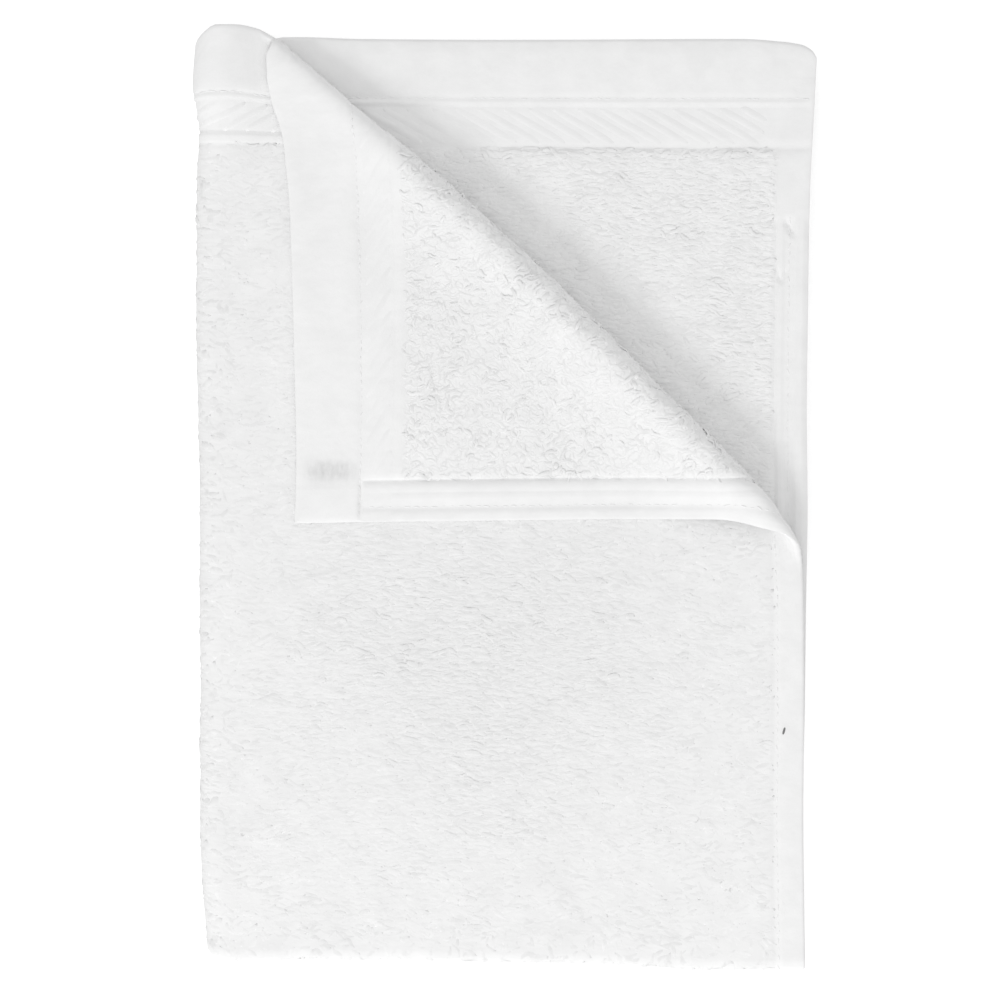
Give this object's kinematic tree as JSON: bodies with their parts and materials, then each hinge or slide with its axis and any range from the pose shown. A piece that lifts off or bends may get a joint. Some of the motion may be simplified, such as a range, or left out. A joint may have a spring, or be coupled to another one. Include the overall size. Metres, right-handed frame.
{
  "type": "hand towel",
  "caption": "Folded terry hand towel with turned hems, woven end borders and the corner of its front leaf turned down.",
  "frame": {"origin": "middle of the folded towel's outline, on the surface that its underside lies on", "axes": "+X to the right of the folded towel, from the lengthwise fold to the free side edges; +Y up the towel, from the crosswise fold to the free ends; +Z out of the front face"},
  "size_m": [0.2038, 0.3058, 0.0249],
  "materials": {
    "terry_cotton": "matt bleached cotton terry, looped pile on both faces, flat woven hems and twill bands"
  },
  "bodies": {
    "root": {"towel": "terry_cotton"}
  },
  "joints": []
}
